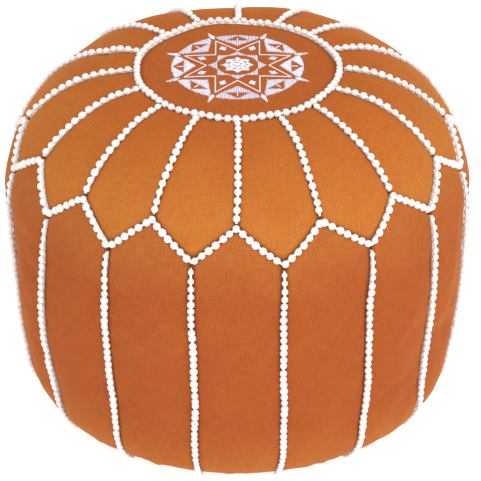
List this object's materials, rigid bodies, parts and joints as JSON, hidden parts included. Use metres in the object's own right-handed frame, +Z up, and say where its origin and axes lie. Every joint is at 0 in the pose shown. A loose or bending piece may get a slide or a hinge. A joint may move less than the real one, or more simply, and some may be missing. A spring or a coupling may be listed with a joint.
{
  "type": "floor pouf",
  "caption": "Round stuffed floor pouf in panelled canvas with beaded cord standing in its seams, an embroidered star on top and a zipped base.",
  "frame": {"origin": "middle of the underside, on the floor", "axes": "+Z up along the pouf's own axis, +X along the zip towards its closed end"},
  "size_m": [0.505, 0.505, 0.402],
  "materials": {
    "petal_canvas": "plain-weave cotton canvas, dyed burnt orange",
    "side_canvas": "plain-weave cotton canvas, dyed burnt orange",
    "medallion_canvas": "plain-weave cotton canvas, dyed burnt orange",
    "base_canvas": "plain-weave cotton canvas, dyed burnt orange",
    "bead_trim": "white beaded cotton lip cord",
    "embroidery_thread": "white rayon satin stitch",
    "bag_calico": "unbleached calico",
    "wadding": "compressed cotton and fibre filling",
    "zip_tape": "woven polyester tape, dyed to match",
    "zip_metal": "antique brass"
  },
  "bodies": {
    "cover": {"base_panel_left": "base_canvas", "base_panel_right": "base_canvas", "embroidered_diamonds": "embroidery_thread", "embroidered_inner_star": "embroidery_thread", "embroidered_rays": "embroidery_thread", "embroidered_rim": "embroidery_thread", "embroidered_rosette": "embroidery_thread", "embroidered_star": "embroidery_thread", "filling": "wadding", "inner_bag": "bag_calico", "medallion": "medallion_canvas", "medallion_trim": "bead_trim", "petal_1": "petal_canvas", "petal_2": "petal_canvas", "petal_3": "petal_canvas", "petal_4": "petal_canvas", "petal_5": "petal_canvas", "petal_6": "petal_canvas", "petal_7": "petal_canvas", "petal_8": "petal_canvas", "petal_9": "petal_canvas", "petal_10": "petal_canvas", "petal_11": "petal_canvas", "petal_12": "petal_canvas", "petal_13": "petal_canvas", "petal_14": "petal_canvas", "petal_15": "petal_canvas", "petal_16": "petal_canvas", "petal_trim": "bead_trim", "side_panel_1": "side_canvas", "side_panel_2": "side_canvas", "side_panel_3": "side_canvas", "side_panel_4": "side_canvas", "side_panel_5": "side_canvas", "side_panel_6": "side_canvas", "side_panel_7": "side_canvas", "side_panel_8": "side_canvas", "side_panel_9": "side_canvas", "side_panel_10": "side_canvas", "side_panel_11": "side_canvas", "side_panel_12": "side_canvas", "side_panel_13": "side_canvas", "side_panel_14": "side_canvas", "side_panel_15": "side_canvas", "side_panel_16": "side_canvas", "side_trim": "bead_trim", "zigzag_trim": "bead_trim", "zip_bottom_stop": "zip_metal", "zip_tape_left": "zip_tape", "zip_tape_right": "zip_tape", "zip_teeth_left": "zip_metal", "zip_teeth_right": "zip_metal", "zip_top_stops": "zip_metal"},
    "zip_slider": {"zip_slider": "zip_metal"},
    "zip_pull": {"zip_pull": "zip_metal"}
  },
  "joints": [
    {"name": "zip_slide", "type": "slide", "parent": "cover", "child": "zip_slider", "axis": [-1, 0, 0], "range_m": [0, 0.28], "deforming": ["zip_teeth_left", "zip_teeth_right"]},
    {"name": "zip_pull_swing", "type": "hinge", "parent": "zip_slider", "child": "zip_pull", "pos_m": [0.148, 0, 0.0039], "axis": [0, -1, 0], "range_deg": [0, 180]}
  ]
}
